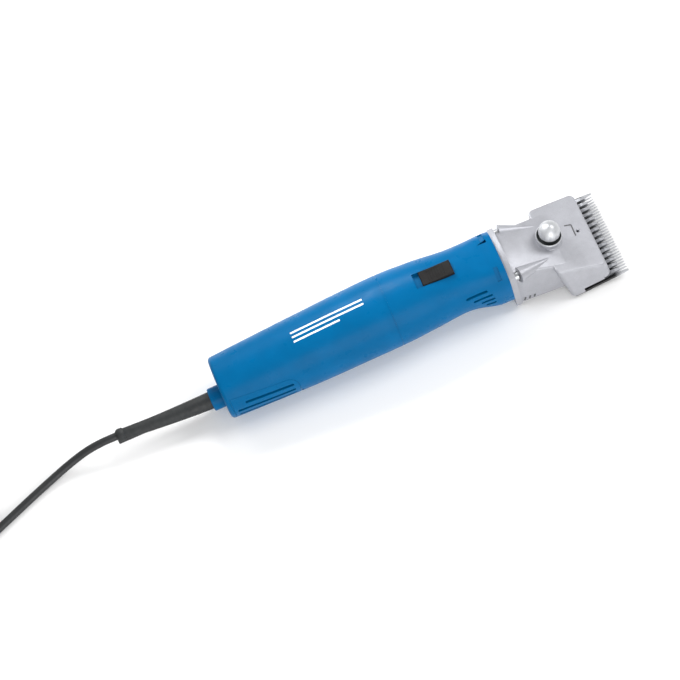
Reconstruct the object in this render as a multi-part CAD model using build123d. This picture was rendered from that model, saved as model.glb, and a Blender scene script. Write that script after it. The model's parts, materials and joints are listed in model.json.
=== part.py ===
from build123d import *
import math
import os

# Mains-powered shearing clipper for sheep and other large animals.
# Millimetres. +X runs from the cord end to the comb, +Z is up, and -Y is the side with the marks.
# The tool lies on the handle's underside and on the comb's heel, both at z = 0.
# Points below are counted along X from the handle's rear face; to_row() moves them to the part's origin,
# which is under the middle of the tool.

os.makedirs("parts", exist_ok=True)

# ---------------------------------------------------------------- driving dimensions
HANDLE_LEN = 244.0        # rear face to the head's flange
SEAM_X = 148.0            # where the motor housing meets the gear housing
WALL = 2.5                # moulded wall of both housings
COLLAR_LEN = 10.4         # cord collar behind the rear face
COLLAR_R = 9.5
CORD_Z = 13.7             # height of the cord's exit
CORD_R = 3.25             # 6.5 mm two-core mains lead

MOTOR_Z = 35.0            # height of the armature's axis
GEAR_MODULE = 0.6
PINION_TEETH = 9
GEAR_TEETH = 36
CENTRE_DISTANCE = GEAR_MODULE * (PINION_TEETH + GEAR_TEETH) / 2
CRANK_Z = MOTOR_Z - CENTRE_DISTANCE
CRANK_THROW = 1.6

COMB_PITCH_DEG = 6.5      # the comb rises this much towards its tips
HEEL_X = 289.0            # rear edge of the comb's sole
COMB_LEN = 48.3
COMB_HALF = 38.25         # a 76.5 mm (3 inch) comb
COMB_TEETH = 31
COMB_THICK = 3.0
CUTTER_TEETH = 15
CUTTER_TIP = 42.0         # cutter tips, from the heel
CUTTER_THICK = 2.9
BLADE_GAP = 0.05          # running gap between cutter and comb

TOP_SLOPE_DEG = 15.9      # the head's top falls this much towards the blades
FLANGE_TOP = 48.2         # height of the flange's top corners
KNOB_TILT_DEG = 10.0
PIVOT_X = 282.0           # the rocker's ball seat
PIVOT_Z = 14.0
SWING_DEG = 3.0           # rocker swing each way

SWITCH_X0 = 179.6
SWITCH_LEN = 26.6
SWITCH_HALF = 6.3
SWITCH_TRAVEL = 3.0

COMB_TIP_X = HEEL_X + COMB_LEN * math.cos(math.radians(COMB_PITCH_DEG))
MID_X = (COMB_TIP_X - COLLAR_LEN) / 2


def to_row(shape):
    return Pos(-MID_X, 0, 0) * shape


def save(name, *solids):
    """Writes one node: a single solid, or a group of separate ones."""
    placed = [to_row(s) for s in solids]
    whole = placed[0] if len(placed) == 1 else Compound(children=placed)
    export_step(whole, f"parts/{name}.step")
    return whole


def x_cylinder(radius, x0, x1, y=0.0, z=0.0):
    """A cylinder along X between two stations."""
    return Pos((x0 + x1) / 2, y, z) * Rot(0, 90, 0) * Cylinder(radius, abs(x1 - x0))


def x_ring(outer, inner, x0, x1, y=0.0, z=0.0):
    return x_cylinder(outer, x0, x1, y, z) - x_cylinder(inner, x0 - 1, x1 + 1, y, z)


def block(x0, x1, y0, y1, z0, z1):
    return Pos((x0 + x1) / 2, (y0 + y1) / 2, (z0 + z1) / 2) * Box(x1 - x0, y1 - y0, z1 - z0)


# ---------------------------------------------------------------- handle shape
class Station:
    """One cross-section of the handle, a rounded oval that may be squarer or wider at its foot."""

    def __init__(self, x, half_width, low, high, square=2.0, flare=0.0):
        self.x = x
        self.half_width = half_width
        self.low = low
        self.high = high
        self.square = square
        self.flare = flare

    def face(self, inset):
        middle = (self.low + self.high) / 2
        half_height = (self.high - self.low) / 2 - inset
        half_width = self.half_width - inset
        points = []
        for k in range(SECTION_POINTS):
            angle = 2 * math.pi * k / SECTION_POINTS
            across = math.copysign(abs(math.cos(angle)) ** (2 / self.square), math.cos(angle))
            up = math.copysign(abs(math.sin(angle)) ** (2 / self.square), math.sin(angle))
            points.append((self.x, half_width * across * (1 - self.flare * up), middle + half_height * up))
        return Face(Wire(Spline(*[Vector(*p) for p in points], periodic=True)))


SECTION_POINTS = 12       # points on each cross-section's spline
SECTION_COUNT = 21        # evenly spaced, so that the loft through them stays smooth
stations = [
    Station(0.0, 26.0, 0.9, 52.9),
    Station(40.0, 27.7, 0.3, 56.9),
    Station(75.0, 28.8, 0.0, 60.6),
    Station(112.0, 29.7, 2.4, 63.8),
    Station(SEAM_X, 30.1, 4.9, 65.6),
    Station(180.0, 28.4, 7.2, 64.6),
    Station(205.0, 26.0, 9.0, 61.4, 2.1, 0.0),
    Station(216.0, 25.7, 8.3, 60.1, 2.35, 0.03),
    Station(225.0, 26.3, 5.0, 59.1, 2.7, 0.055),
    Station(233.0, 26.6, 3.7, 58.3, 2.9, 0.06),
    Station(HANDLE_LEN, 26.5, 3.0, 57.2, 3.0, 0.06),
]


def handle_value(name, x):
    """One size of the handle at x: a curve through the stations that never overshoots them."""
    xs = [s.x for s in stations]
    values = [getattr(s, name) for s in stations]
    spans = [b - a for a, b in zip(xs, xs[1:])]
    rates = [(b - a) / span for a, b, span in zip(values, values[1:], spans)]
    slopes = [rates[0]]
    for before, after in zip(rates, rates[1:]):
        slopes.append(2 * before * after / (before + after) if before * after > 0 else 0.0)
    slopes.append(rates[-1])
    k = max(j for j in range(len(spans)) if xs[j] <= x or j == 0)
    t = (x - xs[k]) / spans[k]
    rise = (3 - 2 * t) * t * t
    bend = ((1 - t) ** 2 * t * slopes[k] - (1 - t) * t * t * slopes[k + 1]) * spans[k]
    return values[k] + (values[k + 1] - values[k]) * rise + bend


def handle_top(x):
    """Height of the handle's top line."""
    return handle_value("high", x)


def handle_section(x):
    return Station(x, *[handle_value(name, x) for name in ("half_width", "low", "high", "square", "flare")])


def handle_body(inset):
    step = HANDLE_LEN / (SECTION_COUNT - 1)
    return loft([handle_section(step * k).face(inset) for k in range(SECTION_COUNT)])


outer_body = handle_body(0.0)
rear_edges = outer_body.edges().filter_by(lambda e: e.bounding_box().max.X < 0.5)
outer_body = fillet(rear_edges, 3.2)
inner_body = handle_body(WALL)
shell = outer_body - (inner_body & block(3.0, HANDLE_LEN + 1, -40, 40, -5, 80))

# ---------------------------------------------------------------- handle: rear housing and its vent cover
COVER_X0 = 4.0
COVER_X1 = 60.0
COVER_TOP = 43.5
COVER_CORNER = 8.0
COVER_FIT = 0.2


def cover_prism(grow):
    """The side outline of the clip-on vent cover, with a rounded front corner, carried right across."""
    high = COVER_TOP + grow
    front = COVER_X1 + grow
    outline = Polyline((COVER_X0 - grow, -10), (COVER_X0 - grow, high), (front, high), (front, -10), close=True)
    face = Face(Wire(outline))
    corner = face.vertices().sort_by(lambda v: v.X + v.Y)[-1]
    face = fillet(corner, COVER_CORNER)
    return extrude(Rot(90, 0, 0) * face, amount=60, both=True)


def side_slots(x0, x1, heights, tall):
    """Round-ended slots through both side walls."""
    cuts = []
    for z in heights:
        slot = SlotOverall(x1 - x0, tall)
        cuts.append(Pos((x0 + x1) / 2, 0, z) * extrude(Rot(90, 0, 0) * slot, amount=60, both=True))
    return cuts


COVER_SLOT_GAP = 7.0
cover_raw = shell & cover_prism(-COVER_FIT)
cover = cover_raw
for cut in side_slots(15.0, 56.0, [37.0], 2.6):
    cover = cover - cut
for cut in side_slots(7.0, 56.0, [30.0, 30.0 - COVER_SLOT_GAP, 30.0 - 2 * COVER_SLOT_GAP], 2.6):
    cover = cover - cut
save("vent_filter_cover", cover)

rear_housing = shell & block(-5, SEAM_X, -40, 40, -5, 80)
rear_housing = rear_housing - cover_prism(0.0)
RELEASE_NOTCH_Z = 24.0
for side in (-1, 1):
    y = side * 27
    notch = block(COVER_X1 - 0.5, COVER_X1 + 1.8, y - 3, y + 3, RELEASE_NOTCH_Z - 3, RELEASE_NOTCH_Z)
    rear_housing = rear_housing - notch
rear_housing = rear_housing - x_cylinder(7.4, -1, 4, 0, CORD_Z)
SEAM_GROOVE = 0.35        # a shallow groove marks the seam


def seam_ring(x0, x1):
    band = outer_body & block(x0, x1, -40, 40, -5, 80)
    return band - (handle_body(SEAM_GROOVE) & block(x0 - 1, x1 + 1, -40, 40, -5, 80))


rear_housing = rear_housing - seam_ring(SEAM_X - 0.4, SEAM_X)
save("rear_housing", rear_housing)

# filter mats behind the cover's slots, one on each side
mats = []
for side in (-1, 1):
    mats.append(block(10, 37, *sorted((side * 19.4, side * 21.2)), 18, 32))
save("filter_mats", *mats)

# ---------------------------------------------------------------- handle: front housing
front_housing = shell & block(SEAM_X, HANDLE_LEN, -40, 40, -5, 80)
front_housing = front_housing - seam_ring(SEAM_X, SEAM_X + 0.4)
SLIDE_TRACK_X0 = 174.3
SLIDE_TRACK_X1 = 209.5
track_floor = handle_top(195.0) - 1.9
track_bed = inner_body & block(SLIDE_TRACK_X0 - 4, SLIDE_TRACK_X1 + 4, -9, 9, track_floor - 2.5, 80)
front_housing = front_housing + track_bed
track = block(SLIDE_TRACK_X0, SLIDE_TRACK_X1, -SWITCH_HALF - 0.4, SWITCH_HALF + 0.4, track_floor, 80)
stem_slot = block(SWITCH_X0 + 6, SWITCH_X0 + 20 + SWITCH_TRAVEL, -2.6, 2.6, 40, 80)
front_housing = front_housing - track - stem_slot
VENT_TOP_Z = 45.5
VENT_STEP_Z = 6.3
vent_rear_ends = [206.4, 211.5, 217.4, 220.5]
vent_front_ends = [224.7, 227.9, 229.1, 229.3]
for k, (x0, x1) in enumerate(zip(vent_rear_ends, vent_front_ends)):
    for cut in side_slots(x0, x1, [VENT_TOP_Z - k * VENT_STEP_Z], 2.6):
        front_housing = front_housing - cut
# snap windows near the front edge: one tall window and one small wedge on each side of the top
for side in (-1, 1):
    window = Pos(237, side * 19.5, 56) * Rot(side * -38, 0, 0) * Box(3.6, 12, 8)
    front_housing = front_housing - window
wedge = Face(Wire(Polyline((231.5, 10.4), (239.5, 10.4), (239.5, 13.6), close=True)))
front_housing = front_housing - Pos(0, 0, 54) * extrude(wedge, amount=12)
# bosses that take the head's screws
SCREW_Y = 20.6
SCREW_Z_HIGH = 43.0
SCREW_Z_LOW = 11.5
SCREW_Y_LOW = 17.5
screw_places = [
    (-SCREW_Y, SCREW_Z_HIGH), (SCREW_Y, SCREW_Z_HIGH), (-SCREW_Y_LOW, SCREW_Z_LOW), (SCREW_Y_LOW, SCREW_Z_LOW),
]
for y, z in screw_places:
    boss = x_cylinder(4.6, 231, HANDLE_LEN, y, z) & outer_body
    front_housing = front_housing + boss
for y, z in screw_places:
    front_housing = front_housing - x_cylinder(1.9, 230, HANDLE_LEN + 1, y, z)
save("front_housing", front_housing)

# ---------------------------------------------------------------- cord collar and strain relief
collar = x_ring(COLLAR_R, 7.25, -COLLAR_LEN, 0.0, 0, CORD_Z)
collar = chamfer(collar.edges().filter_by(GeomType.CIRCLE).sort_by(Axis.X)[:2], 0.8)
save("cord_collar", collar)
BOOT_LEN = 91.0
BOOT_ROOT_R = 7.15
BOOT_END_R = 4.8
BEAD_R = 5.5
BEAD_LEN = 4.5
boot_start = 6.0
boot_profile = Polyline(
    (boot_start, 0), (boot_start, BOOT_ROOT_R), (-COLLAR_LEN - 1, BOOT_ROOT_R),
    (-BOOT_LEN + BEAD_LEN, BOOT_END_R), (-BOOT_LEN + BEAD_LEN, BEAD_R), (-BOOT_LEN, BEAD_R),
    (-BOOT_LEN, 0), close=True,
)
boot = revolve(Face(Wire(boot_profile)), Axis.X)
boot = Pos(0, 0, CORD_Z) * (boot - x_cylinder(CORD_R + 0.02, -BOOT_LEN - 1, boot_start + 1))
save("strain_relief_boot", boot)
CLAMP_X = 13.0
save("inner_lead", x_cylinder(CORD_R, -BOOT_LEN, CLAMP_X + 12, 0, CORD_Z))
clamp = block(CLAMP_X - 4, CLAMP_X + 4, -12, 12, CORD_Z - 4.2, CORD_Z + 4.2)
for s in (-1, 1):
    clamp = clamp + block(3.05, CLAMP_X, *sorted((s * 8.0, s * 12.0)), CORD_Z - 4.2, CORD_Z + 4.2)
clamp = clamp - x_cylinder(CORD_R + 0.02, CLAMP_X - 6, CLAMP_X + 6, 0, CORD_Z)
for s in (-1, 1):
    clamp = clamp - Pos(CLAMP_X, s * 8.5, CORD_Z) * Cylinder(1.6, 20)
save("cord_clamp", clamp)
clamp_screws = []
for s in (-1, 1):
    shank = Pos(CLAMP_X, s * 8.5, CORD_Z + 0.2) * Cylinder(1.5, 8.0)
    head = Pos(CLAMP_X, s * 8.5, CORD_Z + 5.2) * Cylinder(2.9, 2.0)
    clamp_screws.append(shank + head)
save("cord_clamp_screws", *clamp_screws)

# ---------------------------------------------------------------- motor
SHAFT_R = 3.0
PINION_BORE = 1.6
shaft = x_cylinder(SHAFT_R, 22, 138, 0, MOTOR_Z) + x_cylinder(PINION_BORE, 138, 151, 0, MOTOR_Z)
save("armature_shaft", shaft)


def bearing(x0, x1, inner, outer, z):
    """A closed ball bearing: inner ring, outer ring and the shield between them in one block."""
    ring = x_ring(outer, inner, x0, x1, 0, z)
    for edge in (x0, x1):
        ring = ring - x_ring(outer - 1.6, inner + 1.4, edge - 0.4, edge + 0.4, 0, z)
    return ring


save("rear_bearing", bearing(24, 30, SHAFT_R + 0.02, 9.5, MOTOR_Z))
save("bearing_rubber_ring", x_ring(11.5, 9.5, 24, 30, 0, MOTOR_Z))
carrier = x_ring(15.5, 11.5, 23, 31, 0, MOTOR_Z)
carrier = carrier + block(23, 31, -7, 7, MOTOR_Z + 14, 51.6)
save("rear_bearing_carrier", carrier)

COMMUTATOR_R = 10.5
commutator = x_ring(COMMUTATOR_R, SHAFT_R, 38, 52, 0, MOTOR_Z)
BARS = 16
for k in range(BARS):
    slit = block(37, 50, -0.2, 0.2, COMMUTATOR_R - 0.8, COMMUTATOR_R + 1)
    commutator = commutator - Pos(0, 0, MOTOR_Z) * Rot(360 * k / BARS, 0, 0) * slit
save("commutator", commutator)

CORE_R = 15.0
core = x_ring(CORE_R, SHAFT_R, 62, 104, 0, MOTOR_Z)
ARMATURE_SLOTS = 12
for k in range(ARMATURE_SLOTS):
    slot = block(61, 105, -1.6, 1.6, 8.5, 13.4) + block(61, 105, -0.7, 0.7, 8.5, 16)
    core = core - Pos(0, 0, MOTOR_Z) * Rot(360 * k / ARMATURE_SLOTS, 0, 0) * slot
save("armature_core", core)
coil_heads = []
for x0, x1 in ((54, 62), (104, 112)):
    head = x_ring(13.6, SHAFT_R + 0.5, x0, x1, 0, MOTOR_Z)
    coil_heads.append(fillet(head.edges().filter_by(GeomType.CIRCLE).group_by(SortBy.RADIUS)[-1], 2.0))
save("armature_windings", *coil_heads)

STATOR_R = 21.0
stator = x_ring(STATOR_R, 15.5, 62, 104, 0, MOTOR_Z)
for s in (-1, 1):
    stator = stator - block(61, 105, *sorted((s * 13, s * 18.2)), MOTOR_Z - 9, MOTOR_Z + 9)
save("stator_core", stator)
field_coils = []
for s in (-1, 1):
    rib = x_ring(18.0, 15.8, 55, 111, 0, MOTOR_Z)
    rib = rib & block(54, 112, *sorted((s * 10, s * 22)), MOTOR_Z - 8.7, MOTOR_Z + 8.7)
    field_coils.append(rib)
save("field_coils", *field_coils)

holders = []
brushes = []
brush_springs = []
BRUSH_GAP = 0.12
HOLDER_END = 20.2         # clear of the vent cover as it slides off
for s in (-1, 1):
    outer = block(41, 49, *sorted((s * (COMMUTATOR_R + 1.4), s * HOLDER_END)), MOTOR_Z - 5, MOTOR_Z + 5)
    hollow = block(42.2, 47.8, *sorted((s * 9, s * (HOLDER_END - 0.6))), MOTOR_Z - 3.4, MOTOR_Z + 3.4)
    holders.append(outer - hollow)
    rod = block(42.3, 47.7, *sorted((s * 10, s * 15.6)), MOTOR_Z - 3.3, MOTOR_Z + 3.3)
    brushes.append(rod - x_cylinder(COMMUTATOR_R + BRUSH_GAP, 38, 52, 0, MOTOR_Z))
    wire = Helix(pitch=1.0, height=3.2, radius=1.9)
    coil = sweep(Plane(origin=wire @ 0, z_dir=wire % 0) * Circle(0.3), path=wire)
    brush_springs.append(Pos(45, s * 15.95, MOTOR_Z) * Rot(-90 * s, 0, 0) * coil)
save("brush_holders", *holders)
save("carbon_brushes", *brushes)
save("brush_springs", *brush_springs)

FAN_R = 19.0
fan = x_ring(6.5, SHAFT_R, 115, 126, 0, MOTOR_Z) + x_ring(FAN_R, 6.0, 115, 117, 0, MOTOR_Z)
FAN_BLADES = 9
for k in range(FAN_BLADES):
    blade = block(116, 125, -0.8, 0.8, 6, FAN_R - 0.5)
    fan = fan + Pos(0, 0, MOTOR_Z) * Rot(360 * k / FAN_BLADES, 0, 0) * blade
save("cooling_fan", fan)

save("front_bearing", bearing(131, 136, SHAFT_R + 0.02, 6.5, MOTOR_Z))
gear_plate = x_cylinder(26.6, 128.5, 137.5, 0, 34.6)
gear_plate = gear_plate - x_cylinder(6.5, 128, 136, 0, MOTOR_Z) - x_cylinder(4.2, 127, 139, 0, MOTOR_Z)
for k in range(6):
    hole = Pos(0, 0, MOTOR_Z) * Rot(60 * k + 90, 0, 0) * x_cylinder(5.2, 127, 139, 0, 16.5)
    gear_plate = gear_plate - hole
save("gear_plate", gear_plate)


def spur_gear(teeth, x0, x1, bore, phase_deg):
    """Straight teeth with a flat tip, a little narrower than their gaps so that the pair runs free."""
    pitch_r = GEAR_MODULE * teeth / 2
    root_r = pitch_r - 1.25 * GEAR_MODULE
    tip_r = pitch_r + 0.85 * GEAR_MODULE
    step = 360 / teeth
    flank = ((root_r, -0.30), (pitch_r, -0.21), (tip_r, -0.10), (tip_r, 0.10), (pitch_r, 0.21), (root_r, 0.30))
    points = []
    for k in range(teeth):
        for r, part in flank:
            angle = math.radians(phase_deg + step * (k + part))
            points.append((r * math.sin(angle), r * math.cos(angle)))
    face = Face(Wire(Polyline(*points, close=True)))
    body = extrude(Plane.YZ * face, amount=x1 - x0, dir=(1, 0, 0))
    return Pos(x0, 0, 0) * body - x_cylinder(bore, x0 - 1, x1 + 1)


save("motor_pinion", Pos(0, 0, MOTOR_Z) * spur_gear(PINION_TEETH, 140, 150, PINION_BORE, 0.0))

# ---------------------------------------------------------------- switch
slider_low = track_floor + 0.15
slider_high = handle_top(SWITCH_X0 + SWITCH_LEN / 2) + 1.3
slider = block(SWITCH_X0, SWITCH_X0 + SWITCH_LEN, -SWITCH_HALF, SWITCH_HALF, slider_low, slider_high)
slider = fillet(slider.edges().group_by(Axis.Z)[-1], 0.7)
RIB_COUNT = 7
for k in range(RIB_COUNT):
    x = SWITCH_X0 + SWITCH_LEN / 2 + (k - (RIB_COUNT - 1) / 2) * 2.2
    half = SWITCH_HALF - 1.4
    groove = block(x - 0.35, x + 0.35, -half, half, slider_high - 0.5, slider_high + 1)
    slider = slider - groove
slider = slider + block(SWITCH_X0 + 9, SWITCH_X0 + 15, -2.2, 2.2, 54.5, slider_low)
save("switch_slider", slider)
switch_block = block(178, 203, -6, 6, 41, 54)
save("switch_block", switch_block)
rear_contact = block(SWITCH_X0 + 4, SWITCH_X0 + 7, -1.5, 1.5, 54.0, 56.0)
front_contact = block(SWITCH_X0 + 19, SWITCH_X0 + 21, -1.5, 1.5, 54.0, 55.0)
save("switch_contacts", rear_contact, front_contact)
save("suppressor", block(156, 174, -7, 7, 45, 54))

# ---------------------------------------------------------------- crank drive
CRANK_SHAFT_R = 4.0
CRANK_DISC_R = 7.0
PIN_R = 2.5
ROLLER_R = 4.0
save("crank_gear", Pos(0, 0, CRANK_Z) * spur_gear(GEAR_TEETH, 141, 149, CRANK_SHAFT_R, 0.0))
crank = x_cylinder(CRANK_SHAFT_R, 139, 244.5, 0, CRANK_Z) + x_cylinder(CRANK_DISC_R, 244.5, 248.5, 0, CRANK_Z)
crank = crank + x_cylinder(PIN_R, 248.5, 260.5, CRANK_THROW, CRANK_Z)
save("crank_shaft", crank)
save("crank_roller", x_ring(ROLLER_R, PIN_R, 252.0, 260.0, CRANK_THROW, CRANK_Z))
save("crank_rear_bearing", bearing(164, 170, CRANK_SHAFT_R + 0.02, 9.0, CRANK_Z))
save("crank_front_bearing", bearing(232, 239, CRANK_SHAFT_R + 0.02, 9.0, CRANK_Z))


def crank_support(x0, x1, radius, middle_z):
    """The lower part of a disc that fills the handle and holds a crank bearing."""
    support = x_cylinder(radius, x0, x1, 0, middle_z) & block(x0, x1, -40, 40, -5, 40)
    return support - x_cylinder(9.0, x0 - 1, x1 + 1, 0, CRANK_Z)


save("crank_rear_support", crank_support(163, 171, 24.6, 35.6))
front_support = crank_support(231, 240, 23.0, 30.4)
for y, z in screw_places:
    front_support = front_support - x_cylinder(4.7, 230, 241, y, z)
front_support = front_support.solids().sort_by(SortBy.VOLUME)[-1]
save("crank_front_support", front_support)

# ---------------------------------------------------------------- head casting
slope = math.tan(math.radians(TOP_SLOPE_DEG))
blades = Pos(HEEL_X, 0, 0) * Rot(0, -COMB_PITCH_DEG, 0)


def head_top(x):
    return FLANGE_TOP - slope * (x - HANDLE_LEN)


FLANGE_LEN = 5.0
FLANGE_TOP_HALF = 24.0
FLANGE_FOOT_HALF = 28.5
FLANGE_FOOT = 2.5
FLANGE_CROWN = 5.0
PLATE_X0 = 283.0
SKIRT_HALF = 39.3
SKIRT_LOW = 3.05
ROOF_HALF = 28.2


def yz_face(x, *edges):
    """A closed face across the tool at station x, from edges drawn as (y, z)."""
    frame = Plane(origin=(x, 0, 0), x_dir=(0, 1, 0), z_dir=(1, 0, 0))
    return Face(Wire([frame * e for e in edges]))


def flange_face(x, grow, crown):
    top = (-FLANGE_TOP_HALF - grow, FLANGE_TOP), (FLANGE_TOP_HALF + grow, FLANGE_TOP)
    foot = (FLANGE_FOOT_HALF + grow, FLANGE_FOOT), (-FLANGE_FOOT_HALF - grow, FLANGE_FOOT)
    arch = ThreePointArc(top[0], (0, FLANGE_TOP + crown), top[1])
    return yz_face(x, arch, Line(top[1], foot[0]), Line(foot[0], foot[1]), Line(foot[1], top[0]))


flange = extrude(flange_face(HANDLE_LEN, 0, FLANGE_CROWN), amount=FLANGE_LEN, dir=(1, 0, 0))
flange = fillet(flange.edges().filter_by(lambda e: abs(e.length - FLANGE_LEN) < 0.01).group_by(Axis.Z)[0], 5.0)
NECK_TOP_HALF = (19.5, 25.0)      # at the flange and at the shoulder
NECK_FOOT_HALF = (26.0, 29.0)
NECK_FOOT = (6.0, 6.5)


def neck_face(x, k, crown):
    z = head_top(x)
    a, b = NECK_TOP_HALF[k], NECK_FOOT_HALF[k]
    arch = ThreePointArc((-a, z), (0, z + crown), (a, z))
    return yz_face(x, arch, Line((a, z), (b, NECK_FOOT[k])), Line((b, NECK_FOOT[k]), (-b, NECK_FOOT[k])),
                   Line((-b, NECK_FOOT[k]), (-a, z)))


NECK_X0 = HANDLE_LEN + 1
NECK_X1 = PLATE_X0 + 8
neck = loft([neck_face(NECK_X0, 0, 3.5), neck_face(NECK_X1, 1, 0.6)], ruled=True)
neck = fillet(neck.edges().filter_by(lambda e: abs(e.tangent_at(0.5).X) > 0.9 and e.center().Z > 30), 2.2)


def plan(u0, u1, half, w, r_rear, r_front):
    """A rectangle in the comb's plane at height w, with rounded corners."""
    face = Pos((u0 + u1) / 2, 0, w) * Rectangle(u1 - u0, 2 * half)
    rear = face.vertices().group_by(Axis.X)[0]
    face = fillet(rear, r_rear)
    front = face.vertices().group_by(Axis.X)[-1]
    return fillet(front, r_front)


SKIRT_U0 = -1.5
SKIRT_U1 = 34.6
ROOF_W = 46.0
lower = plan(SKIRT_U0, SKIRT_U1, SKIRT_HALF, SKIRT_LOW, 5.0, 5.0)
upper = plan(SKIRT_U0 - 4.0, SKIRT_U1, ROOF_HALF, ROOF_W, 5.0, 5.0)
plate = blades * loft([lower.faces()[0], upper.faces()[0]], ruled=True)
top_cut = Pos(PLATE_X0, 0, head_top(PLATE_X0)) * Rot(0, TOP_SLOPE_DEG, 0) * Pos(0, 0, 30) * Box(200, 120, 60)
plate = plate - top_cut
roof_edges = plate.edges().filter_by(lambda e: abs(e.center().Z - head_top(e.center().X)) < 0.6)
roof_edges = roof_edges.filter_by(lambda e: e.center().X > PLATE_X0 - 20)
plate = fillet(plate.edges().group_by(Axis.Z)[-1] + roof_edges, 1.6)

along_knob = Pos(PIVOT_X, 0, PIVOT_Z) * Rot(0, KNOB_TILT_DEG, 0)
BOSS_TOP = 28.0
RING_GAP = 1.6


def knob_cylinder(radius, s0, s1):
    return along_knob * Pos(0, 0, (s0 + s1) / 2) * Cylinder(radius, s1 - s0)


casting = flange + neck + plate
for side in (-1, 1):
    rib = Plane(origin=(HANDLE_LEN + 8.4, side * 20.6, 43.0), x_dir=(0, 1, 0), z_dir=(30, side * -5.6, -6.2))
    casting = casting + rib * Pos(0, 0, 15.5) * Cone(6.6, 1.0, 31)
boss_profile = Polyline(
    (0, 15), (11.5, 15), (11.5, 21.5), (9.4, 24), (9.0, BOSS_TOP), (0, BOSS_TOP), close=True,
)
boss = revolve(Rot(90, 0, 0) * Face(Wire(boss_profile)), Axis.Z)
casting = casting + along_knob * boss

# the hollow under the top, open at the foot of the plate
neck_roof = Pos(HANDLE_LEN, 0, FLANGE_TOP - 4.5) * Rot(0, TOP_SLOPE_DEG, 0) * Pos(40, 0, 30) * Box(140, 100, 60)
neck_hollow = block(HANDLE_LEN - 1, PLATE_X0 + 12, -18, 18, 10.5, 60) - neck_roof
inner_low = plan(6.5, 31.0, 35.8, -2.0, 3.0, 3.0)
inner_high = plan(6.5, 31.0, 27.0, 40.0, 3.0, 3.0)
plate_hollow = blades * loft([inner_low.faces()[0], inner_high.faces()[0]], ruled=True)
plate_roof = Pos(PLATE_X0, 0, head_top(PLATE_X0) - 4.0) * Rot(0, TOP_SLOPE_DEG, 0) * Pos(0, 0, 30) * Box(200, 120, 60)
plate_hollow = plate_hollow - plate_roof
centre_hollow = blades * Pos(0, 0, 12) * Box(24, 36, 30)
boss_core = along_knob * Pos(0, 0, 22) * Cylinder(9.5, 16)
casting = casting - (neck_hollow - boss_core) - (plate_hollow - boss_core) - (centre_hollow - boss_core)
# side mouths where the cutter's ends run out, and the open front above the comb
MOUTH_LOW = 1.0
MOUTH_HIGH = 6.9
mouth = blades * Pos(25.5, 0, (MOUTH_LOW + MOUTH_HIGH) / 2) * Box(31, 100, MOUTH_HIGH - MOUTH_LOW)
front_mouth = blades * Pos(36, 0, 4.4) * Box(16, 100, 8.2)
casting = casting - mouth - front_mouth
casting = casting - knob_cylinder(6.0, 12, BOSS_TOP + 5)
for y, z in screw_places:
    casting = casting - x_cylinder(2.2, HANDLE_LEN - 1, HANDLE_LEN + FLANGE_LEN + 0.4, y, z)
    casting = casting - x_cylinder(4.1, HANDLE_LEN + FLANGE_LEN, HANDLE_LEN + FLANGE_LEN + 3.4, y, z)
OIL_X = 311.6
oil_hole = Pos(OIL_X, 1.0, head_top(OIL_X)) * Rot(0, TOP_SLOPE_DEG, 0)
casting = casting - oil_hole * Cylinder(1.1, 14) - oil_hole * Pos(0, 0, -0.3) * Cone(0.9, 2.1, 1.4)
COMB_SCREW_U = 3.0
COMB_SCREW_Y = 24.0
for side in (-1, 1):
    casting = casting - blades * Pos(COMB_SCREW_U, side * COMB_SCREW_Y, 5) * Cylinder(2.0, 18)
casting = casting.solids().sort_by(SortBy.VOLUME)[-1]
save("head_casting", casting)

head_screws = []
for y, z in screw_places:
    x = HANDLE_LEN + FLANGE_LEN
    screw = x_cylinder(1.88, x - 14, x, y, z) + x_cylinder(3.5, x, x + 3.0, y, z)
    socket = Pos(x + 2.4, y, z) * Rot(0, 90, 0) * extrude(RegularPolygon(1.7, 6), amount=3)
    head_screws.append(screw - socket)
save("head_screws", *head_screws)

# ---------------------------------------------------------------- blades
def comb_plan():
    """The comb seen from above: a bar with thirty-one teeth, the one at each end wider than the rest."""
    pitch_y = 2 * (COMB_HALF - 1.6) / (COMB_TEETH - 1)
    root = 27.0
    half_root = 0.72
    half_tip = 0.34
    # one edge, from the heel to the inner root of the end tooth
    end_y = COMB_HALF - 1.6
    edge = [
        (0, COMB_HALF - 2), (2, COMB_HALF), (COMB_LEN - 4, COMB_HALF), (COMB_LEN, COMB_HALF - 0.2),
        (COMB_LEN, end_y - 0.1), (COMB_LEN - 4, end_y - half_root + 0.1), (root, end_y - half_root),
    ]
    points = [(u, -y) for u, y in edge]
    for k in range(1, COMB_TEETH - 1):
        y = -end_y + pitch_y * k
        points += [(root, y - half_root), (COMB_LEN - 1.0, y - half_tip), (COMB_LEN, y)]
        points += [(COMB_LEN - 1.0, y + half_tip), (root, y + half_root)]
    points += reversed(edge)
    return Face(Wire(Polyline(*points, close=True)))


comb = extrude(comb_plan(), amount=COMB_THICK, dir=(0, 0, 1))
top_bevel = Pos(36, 0, COMB_THICK) * Rot(0, 7.5, 0) * Pos(20, 0, 5) * Box(40, 90, 10)
comb = comb - top_bevel
foot_bevel = Pos(40, 0, 0) * Rot(0, -6, 0) * Pos(20, 0, -5) * Box(40, 90, 10)
comb = comb - foot_bevel
for side in (-1, 1):
    seat = Pos(COMB_SCREW_U + 2.5, side * COMB_SCREW_Y, 0)
    comb = comb - seat * Pos(-2.5, 0, 1.5) * Cylinder(2.1, 6) - seat * Pos(-2.5, 0, 0.8) * Cone(4.0, 2.1, 1.8)
save("comb", blades * comb)


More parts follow.
